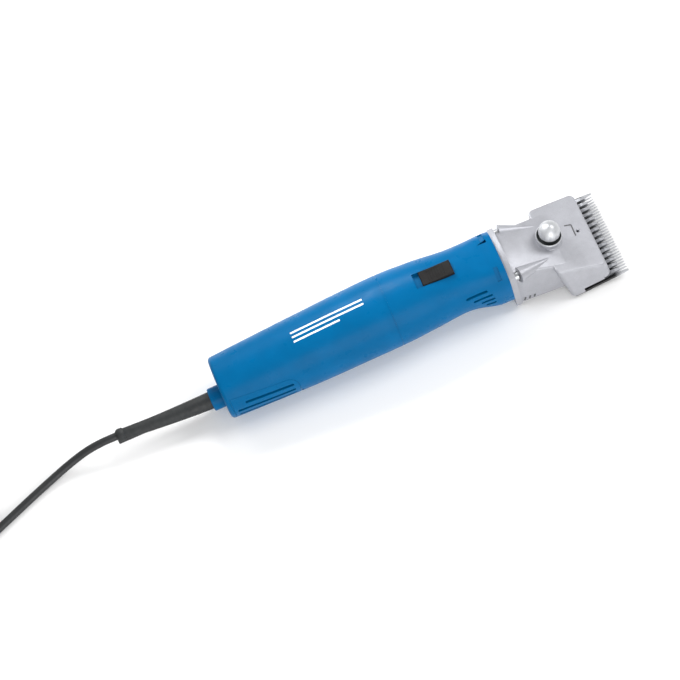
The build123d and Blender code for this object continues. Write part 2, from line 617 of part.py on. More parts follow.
def cutter_plan():
    """The cutter seen from above: a stepped bar with fifteen coarse pointed teeth."""
    half = 36.5
    pitch_y = 2 * (half - 1.6) / (CUTTER_TEETH - 1)
    root = 29.5
    rear = 9.5
    points = [(rear, -26), (rear + 7, -half), (root, -half)]
    for k in range(CUTTER_TEETH):
        y = -half + 1.6 + pitch_y * k
        low = -half if k == 0 else y - 2.05
        high = half if k == CUTTER_TEETH - 1 else y + 2.05
        if k > 0:
            points.append((root, low))
        points += [(CUTTER_TIP - 0.8, y - 0.95), (CUTTER_TIP, y - 0.5)]
        points += [(CUTTER_TIP, y + 0.5), (CUTTER_TIP - 0.8, y + 0.95)]
        if k < CUTTER_TEETH - 1:
            points.append((root, high))
    points += [(root, half), (rear + 7, half), (rear, 26)]
    return Face(Wire(Polyline(*points, close=True)))


CUTTER_LOW = COMB_THICK + BLADE_GAP
cutter = Pos(0, 0, CUTTER_LOW) * extrude(cutter_plan(), amount=CUTTER_THICK, dir=(0, 0, 1))
cutter = cutter - Pos(38, 0, CUTTER_LOW + CUTTER_THICK) * Rot(0, 18, 0) * Pos(20, 0, 5) * Box(40, 90, 10)
DRIVE_U = 14.0
DRIVE_Y = 12.0
for side in (-1, 1):
    cutter = cutter - Pos(DRIVE_U, side * DRIVE_Y, CUTTER_LOW) * Cylinder(2.05, 20)
save("cutter", blades * cutter)
comb_screws = []
for side in (-1, 1):
    screw = Pos(0, 0, 5.6) * Cylinder(1.9, 8.0) + Pos(0, 0, 0.9) * Cone(3.65, 1.95, 1.6)
    screw = screw - Pos(0, 0, 0.2) * Box(8, 0.9, 1.0)
    comb_screws.append(blades * Pos(COMB_SCREW_U, side * COMB_SCREW_Y, 0) * screw)
save("comb_screws", *comb_screws)

# ---------------------------------------------------------------- rocker, in the comb's own axes
pitch = math.radians(COMB_PITCH_DEG)
pivot_u = (PIVOT_X - HEEL_X) * math.cos(pitch) + PIVOT_Z * math.sin(pitch)
pivot_w = -(PIVOT_X - HEEL_X) * math.sin(pitch) + PIVOT_Z * math.cos(pitch)
FORK_REAR = -34.5
FORK_FRONT = -24.0
fork_w = 3.7 + CRANK_Z
side_view = Polyline(
    (17.0, 7.1), (17.0, 10.8), (-1.0, 15.0), (-12, 17.0), (FORK_FRONT + 2, fork_w + 5.5),
    (FORK_REAR, fork_w + 5.5), (FORK_REAR, fork_w - 6), (FORK_FRONT - 2, fork_w - 6),
    (-13, 12.8), (-5, 9.0), (0, 7.1), close=True,
)
lever = extrude(Rot(90, 0, 0) * Face(Wire(side_view)), amount=11.0, both=True)
FORK_HALF_GAP = 7.6
FORK_LEN = FORK_FRONT - FORK_REAR + 1.5
lever = lever - Pos(FORK_REAR - 0.5 + FORK_LEN / 2, 0, fork_w) * Box(FORK_LEN + 1, 2 * FORK_HALF_GAP, 30)
wings = Pos(12.5, 0, 8.9) * Box(9, 32, 3.6)
lever = lever + wings
for side in (-1, 1):
    lever = lever - Pos(-2, side * 16, 10) * Rot(0, 0, side * 20) * Box(20, 12, 20)
lever = lever - Pos(pivot_u, 0, pivot_w + 1) * Sphere(4.4)
lever = lever.solids().sort_by(SortBy.VOLUME)[-1]
save("rocker_lever", blades * lever)
drive_tips = []
for side in (-1, 1):
    tip = Pos(DRIVE_U, side * DRIVE_Y, 5.4) * Cylinder(2.0, 3.4)
    drive_tips.append(blades * tip)
save("drive_tips", *drive_tips)

# ---------------------------------------------------------------- blade tension
sleeve = knob_cylinder(6.0, 14.5, BOSS_TOP + 9.5) - knob_cylinder(4.3, 10, BOSS_TOP + 12)
save("tension_sleeve", sleeve)
ball = along_knob * Pos(0, 0, 1.0) * Sphere(4.0)
pin = knob_cylinder(2.4, 2.0, 31.0) + knob_cylinder(4.1, 17.5, 20.5)
save("pressure_pin", ball + pin)
SPRING_S0 = 20.6
SPRING_TURNS = 6.5
SPRING_LEN = 16.0
spring_path = Helix(pitch=SPRING_LEN / SPRING_TURNS, height=SPRING_LEN, radius=3.35)
spring_wire = sweep(Plane(origin=spring_path @ 0, z_dir=spring_path % 0) * Circle(0.6), path=spring_path)
save("pressure_spring", along_knob * Pos(0, 0, SPRING_S0 + 0.7) * spring_wire)
SEAT_S = SPRING_S0 + SPRING_LEN + 1.6
seat = knob_cylinder(4.1, SEAT_S, SEAT_S + 2.0) - knob_cylinder(2.6, SEAT_S - 1, SEAT_S + 1.2)
save("spring_seat", seat)
RING_S = BOSS_TOP + RING_GAP
HEX_S = RING_S + 3.4
DOME_S = RING_S + 10.0
KNOB_TOP = RING_S + 17.6
HEX_FLATS = 17.6
HEX_R = HEX_FLATS / math.sqrt(3)
BORE_R = 6.05
BORE_TOP = SEAT_S + 2.05
DOME_EDGE_R = 8.6
dome_rise = KNOB_TOP - DOME_S
dome_r = (DOME_EDGE_R ** 2 + dome_rise ** 2) / (2 * dome_rise)
knob_profile = Polyline(
    (0, HEX_S), (HEX_R - 0.6, HEX_S), (HEX_R + 0.1, HEX_S + 0.6), (HEX_R + 0.1, DOME_S - 1.4),
    (DOME_EDGE_R, DOME_S), (0, DOME_S), close=True,
)
knob = revolve(Rot(90, 0, 0) * Face(Wire(knob_profile)), Axis.Z)
knob = knob & Pos(0, 0, HEX_S - 1) * extrude(RegularPolygon(HEX_R, 6), amount=30)
cap = Pos(0, 0, KNOB_TOP - dome_r) * Sphere(dome_r)
knob = knob + (cap & Pos(0, 0, DOME_S + 10) * Box(30, 30, 20))
knob = knob + Pos(0, 0, RING_S + 1.7) * Cylinder(8.2, 3.4)
knob = knob + Pos(0, 0, RING_S + 0.8) * Cylinder(10.6, 1.6) + Pos(0, 0, RING_S + 2.0) * Cone(10.6, 9.0, 0.8)
knob = knob - Pos(0, 0, (RING_S - 1 + BORE_TOP) / 2) * Cylinder(BORE_R, BORE_TOP - RING_S + 1)
save("tension_knob", along_knob * knob)

# ---------------------------------------------------------------- mains lead outside the boot
FLOOR_GAP = 0.1
LEAD_Z = CORD_R + FLOOR_GAP


def lead_tube(name, points):
    """Straight runs joined by arcs, each as large as its two runs allow."""
    points = [Vector(*p) for p in points]
    runs = [(b - a) for a, b in zip(points, points[1:])]
    radii = []
    for a, b in zip(runs, runs[1:]):
        half_turn = math.radians(a.get_angle(b)) / 2
        radii.append(0.45 * min(a.length, b.length) / math.tan(half_turn))
    path = FilletPolyline(*points, radius=radii)
    tube = sweep(Plane(origin=path @ 0, z_dir=path % 0) * Circle(CORD_R), path=path)
    share = tube.volume / (path.length * math.pi * CORD_R ** 2)
    print(name, "length", round(path.length, 1), "radii", [round(r) for r in radii], "share", round(share, 4))
    save(name, tube)


COIL_TURNS = 11
COIL_MIDDLE_R = 39.0
COIL_PITCH = 6.6
COIL_OUT_R = COIL_MIDDLE_R + COIL_PITCH * COIL_TURNS / 4     # centre line of the outermost turn
COIL_IN_R = COIL_MIDDLE_R - COIL_PITCH * COIL_TURNS / 4
COIL_X = -263.2
COIL_Y = 14.2
LEAD_HEADING = math.radians(201.4)                           # the way the lead runs into the coil
tangent_x = COIL_X - COIL_OUT_R * math.cos(LEAD_HEADING - math.pi / 2)
tangent_y = COIL_Y - COIL_OUT_R * math.sin(LEAD_HEADING - math.pi / 2)
run_in = math.sqrt((COIL_OUT_R + CORD_R) ** 2 - COIL_OUT_R ** 2)   # the coil's edge, along the tangent


def beside_coil(along, z):
    """A point on the coil's tangent, before (-) or past (+) the place where the lead joins the coil."""
    x = tangent_x + along * math.cos(LEAD_HEADING)
    y = tangent_y + along * math.sin(LEAD_HEADING)
    return (x, y, z)


lead_tube("mains_lead", [
    (-BOOT_LEN, 0, CORD_Z), (-103, 0.3, 13.4), (-117, 1.2, 11.3), (-133, 0.9, 7.6), (-150, -2.4, 4.2),
    (-172, -10.8, LEAD_Z), (-198, -21.4, LEAD_Z), beside_coil(-run_in - 1, LEAD_Z),
])
COIL_HIGH = 4 * CORD_R + 0.2
coil = Cylinder(COIL_OUT_R + CORD_R, COIL_HIGH) - Cylinder(COIL_IN_R - CORD_R, 60)
coil = Pos(COIL_X, COIL_Y, FLOOR_GAP / 2 + COIL_HIGH / 2) * coil
save("lead_coil", coil)

# the lead comes off the coil's top, swings over it and ends in the plug, which lies on the coil
COIL_TOP = FLOOR_GAP / 2 + COIL_HIGH
TAIL_Z = COIL_TOP + CORD_R + 0.05
TAIL_START = -17.0                                           # along the coil's tangent
TAIL_RUN = 25.0
TAIL_RUNS = 4
PLUG_HALF_THICK = 9.15
PLUG_Z = COIL_TOP + 0.05 + PLUG_HALF_THICK
PLUG_HEADING = math.radians(90.0)
PLUG_REAR_LEN = 16.0
PLUG_LEN = 38.0
PLUG_HALF = 18.5
PIN_SPACING = 19.0
PLUG_PIN_R = 2.4
PLUG_PIN_LEN = 19.0
tail_heights = (TAIL_Z, (TAIL_Z + PLUG_Z) / 2, PLUG_Z, PLUG_Z)
tail_points = [beside_coil(TAIL_START, TAIL_Z)]
for k, height in enumerate(tail_heights):
    heading = LEAD_HEADING + (PLUG_HEADING - LEAD_HEADING) * k / (TAIL_RUNS - 1)
    x, y, _ = tail_points[-1]
    tail_points.append((x + TAIL_RUN * math.cos(heading), y + TAIL_RUN * math.sin(heading), height))
lead_tube("lead_tail", tail_points)
plug_x, plug_y, _ = tail_points[-1]
print("plug's rear at", round(plug_x, 2), round(plug_y, 2), round(PLUG_Z, 2))


def on_lead_end(shape):
    """Moves a shape drawn along +X, from the lead's end, to where the plug lies."""
    return Pos(plug_x, plug_y, PLUG_Z) * Rot(0, 0, math.degrees(PLUG_HEADING)) * shape


plug_front = PLUG_REAR_LEN + PLUG_LEN
plug_plan = Polyline(
    (14, -7), (22, -14), (32, -PLUG_HALF), (plug_front, -PLUG_HALF),
    (plug_front, PLUG_HALF), (32, PLUG_HALF), (22, 14), (14, 7), close=True,
)
plug = extrude(Face(Wire(plug_plan)), amount=PLUG_HALF_THICK, both=True)
plug = fillet(plug.edges().filter_by(Axis.Z), 2.5)
plug = fillet(plug.edges().filter_by(lambda e: abs(abs(e.center().Z) - PLUG_HALF_THICK) < 0.01), 1.5)
plug = plug + Pos(PLUG_REAR_LEN / 2, 0, 0) * Rot(0, 90, 0) * Cone(4.4, 6.8, PLUG_REAR_LEN)
save("mains_plug", on_lead_end(plug))
pins = []
for side in (-1, 1):
    pin = x_cylinder(PLUG_PIN_R, plug_front, plug_front + PLUG_PIN_LEN, side * PIN_SPACING / 2)
    pins.append(on_lead_end(pin))
save("plug_pins", *pins)
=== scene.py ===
import json
import math

import bpy
from mathutils import Matrix, Vector
from mathutils.bvhtree import BVHTree


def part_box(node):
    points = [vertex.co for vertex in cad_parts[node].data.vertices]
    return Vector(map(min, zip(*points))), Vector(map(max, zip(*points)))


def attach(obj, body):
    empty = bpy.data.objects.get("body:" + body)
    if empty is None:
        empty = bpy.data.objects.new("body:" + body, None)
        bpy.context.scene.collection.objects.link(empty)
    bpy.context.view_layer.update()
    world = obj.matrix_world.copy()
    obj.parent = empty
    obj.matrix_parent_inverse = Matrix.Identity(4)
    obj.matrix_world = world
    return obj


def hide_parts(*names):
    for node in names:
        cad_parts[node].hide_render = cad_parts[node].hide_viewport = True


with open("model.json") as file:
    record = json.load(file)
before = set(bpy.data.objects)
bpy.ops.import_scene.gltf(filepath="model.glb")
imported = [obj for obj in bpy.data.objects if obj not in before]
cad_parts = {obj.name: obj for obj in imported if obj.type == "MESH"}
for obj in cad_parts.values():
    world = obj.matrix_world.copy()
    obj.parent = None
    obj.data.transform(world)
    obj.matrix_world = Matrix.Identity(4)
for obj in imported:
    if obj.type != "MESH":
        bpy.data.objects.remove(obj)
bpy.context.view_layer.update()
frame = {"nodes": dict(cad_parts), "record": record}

# ------------------------------------------------------------------ places
# Places are in millimetres along the tool: x from the handle's rear face, y across, z above the floor.
MM = 0.001
REAR_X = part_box("rear_housing")[0].x


def at(x, y, z):
    """A place on the tool, in the row frame, in metres."""
    return Vector((REAR_X + x * MM, y * MM, z * MM))


# ------------------------------------------------------------------ material tools
def srgb(r, g, b):
    """An 8-bit screen colour as linear RGBA."""
    def lin(c):
        c /= 255
        return c / 12.92 if c <= 0.04045 else ((c + 0.055) / 1.055) ** 2.4
    return (lin(r), lin(g), lin(b), 1.0)


class Shader:
    """One node material, built on object coordinates in metres."""

    def __init__(self, name, metallic=0.0, roughness=0.5, **sockets):
        self.material = bpy.data.materials.new(name)
        self.material.use_nodes = True
        self.nodes = self.material.node_tree.nodes
        self.links = self.material.node_tree.links
        self.bsdf = self.nodes["Principled BSDF"]
        self.bsdf.inputs["Metallic"].default_value = metallic
        self.bsdf.inputs["Roughness"].default_value = roughness
        for socket, value in sockets.items():
            self.bsdf.inputs[socket.replace("_", " ")].default_value = value
        self.coords = self.nodes.new("ShaderNodeTexCoord").outputs["Object"]

    def stretched(self, sx, sy, sz):
        """Object coordinates scaled along each axis, for grain that runs one way."""
        node = self.nodes.new("ShaderNodeMapping")
        node.inputs["Scale"].default_value = (sx, sy, sz)
        self.links.new(self.coords, node.inputs["Vector"])
        return node.outputs["Vector"]

    def noise(self, per_metre, detail=3.0, rough=0.5, vector=None):
        node = self.nodes.new("ShaderNodeTexNoise")
        node.inputs["Scale"].default_value = per_metre
        node.inputs["Detail"].default_value = detail
        node.inputs["Roughness"].default_value = rough
        self.links.new(self.coords if vector is None else vector, node.inputs["Vector"])
        return node.outputs["Fac"]

    def ramp(self, factor, *stops):
        node = self.nodes.new("ShaderNodeValToRGB")
        ramp = node.color_ramp
        while len(ramp.elements) < len(stops):
            ramp.elements.new(0.5)
        for element, (place, colour) in zip(ramp.elements, stops):
            element.position = place
            element.color = colour if isinstance(colour, tuple) else (colour, colour, colour, 1.0)
        self.links.new(factor, node.inputs["Fac"])
        return node.outputs["Color"]

    def multiply(self, a, b, share=1.0):
        node = self.nodes.new("ShaderNodeMix")
        node.data_type = "RGBA"
        node.blend_type = "MULTIPLY"
        node.inputs["Factor"].default_value = share
        self.links.new(a, node.inputs["A"])
        self.links.new(b, node.inputs["B"])
        return node.outputs["Result"]

    def colour(self, output):
        self.links.new(output, self.bsdf.inputs["Base Color"])

    def rough(self, output):
        self.links.new(output, self.bsdf.inputs["Roughness"])

    def bump(self, *layers):
        """Each layer is (height output, depth in metres)."""
        normal = None
        for height, depth in layers:
            node = self.nodes.new("ShaderNodeBump")
            node.inputs["Strength"].default_value = 1.0
            node.inputs["Distance"].default_value = depth
            self.links.new(height, node.inputs["Height"])
            if normal is not None:
                self.links.new(normal, node.inputs["Normal"])
            normal = node.outputs["Normal"]
        self.links.new(normal, self.bsdf.inputs["Normal"])


def mottled(shader, base, spread, per_metre=60):
    """The base colour a little darker and lighter in soft patches."""
    dark = tuple(c * (1 - spread) for c in base[:3]) + (1.0,)
    light = tuple(min(1.0, c * (1 + spread)) for c in base[:3]) + (1.0,)
    return shader.ramp(shader.noise(per_metre, 3), (0.3, dark), (0.7, light))


def moulded(name, base, roughness, grain=0.00003, grain_scale=2600, spread=0.06, **sockets):
    """Injection-moulded plastic: fine spark grain, soft flow patches and handling polish."""
    s = Shader(name, 0.0, roughness, **sockets)
    s.colour(mottled(s, base, spread))
    low, high = max(0.05, roughness - 0.07), min(1.0, roughness + 0.08)
    s.rough(s.ramp(s.noise(140, 5), (0.3, low), (0.7, high)))
    s.bump((s.noise(grain_scale, 2), grain), (s.noise(45, 2), 0.00012))
    return s.material


def soft_rubber(name, base, roughness=0.62):
    s = Shader(name, 0.0, roughness)
    s.colour(mottled(s, base, 0.14, 90))
    s.rough(s.ramp(s.noise(320, 4), (0.3, roughness - 0.1), (0.7, roughness + 0.1)))
    s.bump((s.noise(3200, 3), 0.00002), (s.noise(400, 2), 0.00003))
    return s.material


def ground_steel(name, base, roughness, grain=(60, 2600, 2600), depth=0.000006):
    """Steel with fine grinding lines, spaced by the largest numbers in grain."""
    s = Shader(name, 1.0, roughness)
    lines = s.noise(1.0, 3, 0.6, s.stretched(*grain))
    patches = s.noise(120, 4)
    tint = s.ramp(patches, (0.25, tuple(c * 0.88 for c in base[:3]) + (1.0,)), (0.7, base))
    s.colour(s.multiply(tint, s.ramp(lines, (0.2, 0.82), (0.7, 1.0)), 0.7))
    s.rough(s.ramp(lines, (0.25, roughness - 0.07), (0.75, roughness + 0.1)))
    s.bump((lines, depth))
    return s.material


def cast_metal(name, base, roughness):
    """Blasted aluminium casting: sand texture over a soft uneven skin, darker in its pits."""
    s = Shader(name, 0.5, roughness)
    sand = s.noise(1900, 4, 0.6)
    skin = s.noise(150, 3)
    tint = s.ramp(skin, (0.25, tuple(c * 0.9 for c in base[:3]) + (1.0,)), (0.7, base))
    s.colour(s.multiply(tint, s.ramp(sand, (0.28, 0.78), (0.52, 1.0)), 0.6))
    s.rough(s.ramp(sand, (0.3, roughness + 0.12), (0.7, roughness - 0.05)))
    s.bump((sand, 0.00005), (skin, 0.00014))
    return s.material


def polished(name, base, roughness, metallic=1.0):
    """Plated and polished: faint smears only."""
    s = Shader(name, metallic, roughness)
    s.colour(mottled(s, base, 0.03, 80))
    s.rough(s.ramp(s.noise(260, 5), (0.35, roughness), (0.75, roughness + 0.08)))
    s.bump((s.noise(500, 2), 0.000004))
    return s.material


def wound_wire(name, base):
    """Enamelled wire: narrow turns that show as bands round the coil."""
    s = Shader(name, 0.7, 0.3)
    wave = s.nodes.new("ShaderNodeTexWave")
    wave.inputs["Scale"].default_value = 500
    wave.inputs["Distortion"].default_value = 0.6
    s.links.new(s.coords, wave.inputs["Vector"])
    s.colour(s.ramp(wave.outputs["Fac"], (0.1, tuple(c * 0.35 for c in base[:3]) + (1.0,)), (0.6, base)))
    s.bump((wave.outputs["Fac"], 0.0001))
    return s.material


MATERIALS = {
    "blue_housing": moulded("blue_housing", srgb(0, 92, 142), 0.32, Specular_IOR_Level=0.06),
    "boot_rubber": soft_rubber("boot_rubber", srgb(30, 33, 34)),
    "lead_jacket": soft_rubber("lead_jacket", srgb(29, 31, 33), 0.5),
    "plug_plastic": moulded("plug_plastic", srgb(40, 41, 43), 0.5),
    "plug_brass": polished("plug_brass", srgb(215, 210, 195), 0.16),
    "switch_plastic": moulded("switch_plastic", srgb(20, 19, 19), 0.6, grain=0.00005, Specular_IOR_Level=0.2),
    "inner_plastic": moulded("inner_plastic", srgb(58, 58, 60), 0.6),
    "filter_mesh": soft_rubber("filter_mesh", srgb(60, 62, 64), 0.9),
    "screw_steel": ground_steel("screw_steel", srgb(190, 192, 195), 0.3),
    "bearing_steel": ground_steel("bearing_steel", srgb(205, 207, 210), 0.2),
    "shaft_steel": ground_steel("shaft_steel", srgb(190, 193, 197), 0.24),
    "gear_steel": ground_steel("gear_steel", srgb(150, 153, 158), 0.3),
    "copper_bars": ground_steel("copper_bars", srgb(205, 130, 90), 0.28),
    "winding_copper": wound_wire("winding_copper", srgb(176, 92, 48)),
    "core_steel": ground_steel("core_steel", srgb(120, 122, 126), 0.4, grain=(4000, 60, 60)),
    "holder_brass": ground_steel("holder_brass", srgb(200, 168, 96), 0.3),
    "carbon": moulded("carbon", srgb(38, 38, 40), 0.7),
    "spring_steel": ground_steel("spring_steel", srgb(165, 168, 172), 0.25),
    "fan_plastic": moulded("fan_plastic", srgb(46, 47, 50), 0.5),
    "seal_rubber": soft_rubber("seal_rubber", srgb(30, 30, 32)),
    "plate_aluminium": ground_steel("plate_aluminium", srgb(200, 202, 205), 0.34),
    "casting_aluminium": cast_metal("casting_aluminium", srgb(170, 171, 177), 0.42),
    "blade_steel": ground_steel("blade_steel", srgb(176, 178, 183), 0.45, grain=(2400, 70, 2400)),
    "knob_chrome": polished("knob_chrome", srgb(192, 194, 197), 0.42, 0.65),
}
for part in frame["record"]["subparts"]:
    cad = frame["nodes"][part["node"]]
    for k in range(len(cad.material_slots)):
        cad.material_slots[k].material = MATERIALS[part["material_slot"]]


def steel_with_painted_root_shade(name, base, roughness, dark_x, light_x):
    """Blade steel with painted shade between the roots of its teeth, darkest up to dark_x and full colour
    from light_x.
    """
    s = Shader(name, 0.9, roughness)
    split = s.nodes.new("ShaderNodeSeparateXYZ")
    s.links.new(s.coords, split.inputs["Vector"])
    span = s.nodes.new("ShaderNodeMapRange")
    span.inputs["From Min"].default_value = dark_x
    span.inputs["From Max"].default_value = light_x
    s.links.new(split.outputs["X"], span.inputs["Value"])
    # painted shade: near black at the roots, fading out towards the tips
    painted_shade = s.ramp(span.outputs["Result"], (0.0, 0.035), (1.0, 1.0))
    lines = s.noise(1.0, 3, 0.6, s.stretched(2400, 70, 2400))
    steel = s.ramp(lines, (0.2, tuple(c * 0.85 for c in base[:3]) + (1.0,)), (0.7, base))
    s.colour(s.multiply(steel, painted_shade))
    s.bump((lines, 0.000006))
    return s.material


# the comb gets steel with painted shade at the roots of its teeth
frame["nodes"]["comb"].material_slots[0].material = steel_with_painted_root_shade(
    "comb_steel", srgb(206, 208, 212), 0.36, at(325, 0, 0).x, at(331, 0, 0).x)

# ------------------------------------------------------------------ mesh tools
def new_piece(name, verts, faces, material, body, smooth_deg=30):
    """A mesh piece from points in metres, shaded smooth except at its sharp edges."""
    mesh = bpy.data.meshes.new(name)
    mesh.from_pydata([tuple(v) for v in verts], [], faces)
    mesh.validate()
    mesh.materials.append(material)
    piece = bpy.data.objects.new(name, mesh)
    bpy.context.collection.objects.link(piece)
    mesh.shade_smooth()
    mesh.set_sharp_from_angle(angle=math.radians(smooth_deg))
    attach(piece, body)
    return piece


def sweep_rings(name, rings, material, body, smooth_deg=30):
    """A closed skin through rings of equally many points; the first and last rings are filled."""
    count = len(rings[0])
    verts = [p for ring in rings for p in ring]
    faces = []
    for j in range(len(rings) - 1):
        for k in range(count):
            a, b = j * count + k, j * count + (k + 1) % count
            faces.append((a, b, b + count, a + count))
    faces.append(tuple(reversed(range(count))))
    faces.append(tuple(range((len(rings) - 1) * count, len(rings) * count)))
    return new_piece(name, verts, faces, material, body, smooth_deg)


def surface_of(node):
    """A tree for finding where a ray meets a CAD node."""
    mesh = frame["nodes"][node].data
    return BVHTree.FromPolygons([v.co for v in mesh.vertices], [p.vertices for p in mesh.polygons])


def print_bar(name, tree, start, end, width, ray, lift, material, body, steps=24):
    """A flat bar laid on a surface from start to end, both in tool millimetres, found by rays along `ray`."""
    start, end, ray = at(*start), at(*end), Vector(ray).normalized()
    along = (end - start).normalized()
    side = along.cross(ray).normalized() * (width * MM / 2)
    across = 5
    rows = []
    for k in range(steps + 1):
        row = []
        for j in range(across):
            place = start.lerp(end, k / steps) + side * (2 * j / (across - 1) - 1)
            hit, normal, _, _ = tree.ray_cast(place - ray * 0.05, ray)
            row.append((hit, normal if normal.dot(ray) < 0 else -normal))
        rows.append(row)
    verts = [hit + n * (lift * MM) for row in rows for hit, n in row]
    verts += [hit - n * (0.1 * MM) for row in rows for hit, n in row]
    total = len(rows) * across
    faces = []
    for k in range(steps):
        for j in range(across - 1):
            a = k * across + j
            faces.append((a, a + 1, a + across + 1, a + across))
            faces.append((total + a, total + a + across, total + a + across + 1, total + a + 1))
    rim = [j for j in range(across)] + [k * across + across - 1 for k in range(1, steps + 1)]
    rim += [steps * across + j for j in range(across - 2, -1, -1)]
    rim += [k * across for k in range(steps - 1, 0, -1)]
    for a, b in zip(rim, rim[1:] + rim[:1]):
        faces.append((b, a, total + a, total + b))
    return new_piece(name, verts, faces, material, body, 60)


# ------------------------------------------------------------------ printed and cast marks: plain bars only
print_white = moulded("print_white", srgb(238, 242, 246), 0.5)
housing_skin = surface_of("rear_housing")
LOGO_X0, LOGO_X1 = 69.0, 131.0
for k, (y, x_end, width) in enumerate(((4.0, LOGO_X1, 1.5), (0.0, LOGO_X1, 1.5), (-4.0, LOGO_X1 - 22, 1.5))):
    print_bar(f"handle_print_{k}", housing_skin, (LOGO_X0, y, 40), (x_end, y, 40), width, (0, 0, -1), 0.05,
              print_white, "tool")
casting_skin = surface_of("head_casting")
cast_dark = cast_metal("cast_mark", srgb(96, 97, 98), 0.55)
for k, (start, end) in enumerate((((303.1, 8.5), (308.5, 7.8)), ((308.5, 7.8), (308.2, -2.7)))):
    print_bar(f"plate_mark_{k}", casting_skin, (*start, 60), (*end, 60), 0.9, (0, 0, -1), 0.25,
              cast_dark, "tool", 8)
for k, x in enumerate((251.5, 255.5, 259.5)):
    print_bar(f"neck_mark_{k}", casting_skin, (x, -60, 7.5), (x + 1.2, -60, 10.5), 1.3, (0, 1, 0), 0.3,
              cast_dark, "tool", 6)

# ------------------------------------------------------------------ tension knob: chrome cap on a flared ring
KNOB_TILT = math.radians(10)
PIVOT = at(282, 0, 14)
knob_axis = Vector((math.sin(KNOB_TILT), 0, math.cos(KNOB_TILT)))
knob_fore = Vector((math.cos(KNOB_TILT), 0, -math.sin(KNOB_TILT)))
RING_S = 29.6
KNOB_FLUTES = 10
KNOB_SEGMENTS = 160
RECESS_ROWS = range(7, 13)          # the rows of KNOB_PROFILE between the ring's lip and the cap
# (distance along the axis, radius, depth of the flutes)
KNOB_PROFILE = [
    (0.0, 6.1, 0), (0.0, 9.9, 0), (0.25, 10.4, 0), (0.6, 10.6, 0), (1.6, 10.6, 0),
    (2.2, 10.5, 0), (2.5, 10.2, 0), (2.4, 9.8, 0), (1.7, 9.4, 0), (1.0, 8.6, 0),
    (0.9, 6.9, 0), (4.8, 6.9, 0), (5.0, 7.8, 0), (5.3, 8.3, 0.1), (5.9, 8.6, 0.35),
    (7.0, 8.8, 0.5), (8.8, 8.75, 0.5), (10.0, 8.6, 0.4), (11.0, 8.3, 0.15), (12.1, 7.8, 0),
    (13.4, 6.9, 0), (14.7, 5.6, 0), (15.9, 4.0, 0), (16.8, 2.2, 0), (17.15, 0.9, 0),
    (17.2, 0.25, 0),
]


def knob_ring(s, radius, flute):
    ring = []
    for k in range(KNOB_SEGMENTS):
        angle = 2 * math.pi * k / KNOB_SEGMENTS
        groove = max(0.0, math.cos(KNOB_FLUTES * angle)) ** 2
        r = (radius - flute * groove) * MM
        ring.append(PIVOT + knob_axis * ((RING_S + s) * MM) + knob_fore * (r * math.cos(angle))
                    + Vector((0, 1, 0)) * (r * math.sin(angle)))
    return ring


knob = sweep_rings("tension_cap", [knob_ring(*row) for row in KNOB_PROFILE], MATERIALS["knob_chrome"], "knob",
                   40)
# painted shade: a dark material on the recess rows between the ring's lip and the cap
knob.data.materials.append(soft_rubber("recess_painted_shade", srgb(44, 47, 48), 0.5))
for k, face in enumerate(knob.data.polygons):
    if k // KNOB_SEGMENTS in RECESS_ROWS:
        face.material_index = 1
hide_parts("tension_knob")

# ------------------------------------------------------------------ strain relief: a tapered sleeve
BOOT_END = (-91.0, 2.6, 16.6)
BOOT_ROOT_X = 6.0
BOOT_SEGMENTS = 48
COLLAR_DEPTH = 16.4                 # the sleeve is straight inside the collar
BOOT_LENGTH = 97.0
COLLAR_Z = 13.7
# (distance from the root, radius)
BOOT_PROFILE = [
    (0, 3.4), (0, 7.1), (16.4, 7.1), (18, 7.1), (30, 6.75), (45, 6.2), (60, 5.65), (75, 5.15), (90.2, 4.75),
    (90.6, 5.3), (91.2, 5.6), (93.4, 5.6), (94.6, 5.5), (95.6, 5.0), (96.6, 4.2), (97.0, 3.4),
]


def boot_line(distance):
    """The sleeve's centre: straight through the collar, then a slow bend."""
    t = max(0.0, (distance - COLLAR_DEPTH) / (BOOT_LENGTH - COLLAR_DEPTH))
    height = COLLAR_Z + (BOOT_END[2] - COLLAR_Z) * t ** 1.6
    return Vector((BOOT_ROOT_X - distance, BOOT_END[1] * t * t, height))


boot_rings = []
for distance, radius in BOOT_PROFILE:
    centre = boot_line(distance)
    boot_rings.append([at(*(centre + Vector((0, radius * math.cos(a), radius * math.sin(a)))))
                       for a in (2 * math.pi * k / BOOT_SEGMENTS for k in range(BOOT_SEGMENTS))])
boot = sweep_rings("boot_sleeve", boot_rings, MATERIALS["boot_rubber"], "tool", 35)
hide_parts("strain_relief_boot")

# ------------------------------------------------------------------ mains lead
CORD_R = 3.25
LEAD_Z = 3.35
BOOT_TIP = -91.0
COIL_CENTRE = (-263.2, 14.2)
COIL_TURNS = 11
COIL_MIDDLE_R = 39.0
COIL_PITCH = 6.6
COIL_HEADING = math.radians(201.4)
COIL_POINTS = 16                    # control points in each turn
LAYER_STEP = 2 * CORD_R + 0.1
CROSSING_TURNS = 0.6                # how much of a turn the climb to the upper layer takes
LIFT_TURNS = 0.25                   # how much of the last turn lifts towards the plug
coil_out_r = COIL_MIDDLE_R + COIL_PITCH * COIL_TURNS / 4


def coil_point(turn):
    """A point on the put-away coil: one layer winding in, then one winding out on top of it."""
    half = COIL_TURNS / 2
    depth = turn if turn <= half else COIL_TURNS - turn
    radius = coil_out_r - COIL_PITCH * depth
    crossing = min(max((turn - half) / CROSSING_TURNS + 0.5, 0.0), 1.0)
    climb = crossing + max((turn - COIL_TURNS) / LIFT_TURNS + 1, 0.0)
    angle = COIL_HEADING - math.pi / 2 + math.pi - 2 * math.pi * turn
    z = LEAD_Z + LAYER_STEP * climb
    return (COIL_CENTRE[0] + radius * math.cos(angle), COIL_CENTRE[1] + radius * math.sin(angle), z)


